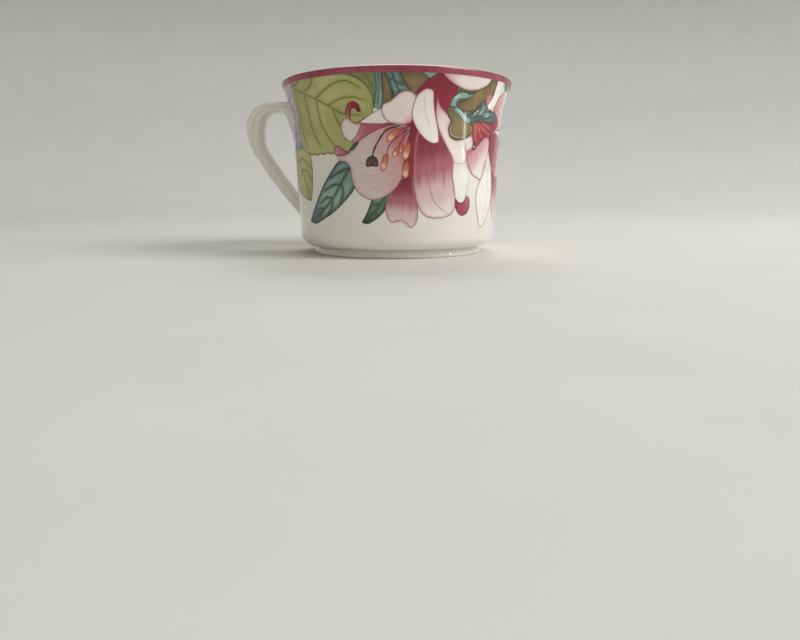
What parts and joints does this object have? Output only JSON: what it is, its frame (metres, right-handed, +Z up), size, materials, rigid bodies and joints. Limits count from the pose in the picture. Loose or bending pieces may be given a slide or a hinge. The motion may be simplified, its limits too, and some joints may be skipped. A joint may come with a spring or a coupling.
{
  "type": "teacup",
  "caption": "Footed china teacup with a flared lip, an ear-shaped handle, a painted rim line and wrap-round floral prints.",
  "frame": {"origin": "on the cup's axis, in the plane that the foot ring stands on", "axes": "+Z up along the cup's axis, the handle lies in the XZ plane at -X, the front of the print faces -Y and +X"},
  "size_m": [0.1053, 0.0862, 0.0625],
  "materials": {
    "bowl": "gloss white glaze",
    "foot_ring": "gloss white glaze, bare ground edge",
    "handle": "gloss white glaze",
    "upper_slip_joint": "gloss white glaze",
    "lower_slip_joint": "gloss white glaze",
    "rim_band": "gloss raspberry enamel",
    "print_leaf_spray": "gloss printed enamel under a clear flux",
    "print_front_lily": "gloss printed enamel under a clear flux",
    "print_side_lily": "gloss printed enamel under a clear flux",
    "print_tulip_spray": "gloss printed enamel under a clear flux",
    "print_morning_glory": "gloss printed enamel under a clear flux",
    "print_wild_rose": "gloss printed enamel under a clear flux"
  },
  "bodies": {
    "root": {"bowl": "bowl", "foot_ring": "foot_ring", "handle": "handle", "upper_slip_joint": "upper_slip_joint", "lower_slip_joint": "lower_slip_joint", "rim_band": "rim_band", "print_leaf_spray": "print_leaf_spray", "print_front_lily": "print_front_lily", "print_side_lily": "print_side_lily", "print_tulip_spray": "print_tulip_spray", "print_morning_glory": "print_morning_glory", "print_wild_rose": "print_wild_rose"}
  },
  "joints": []
}
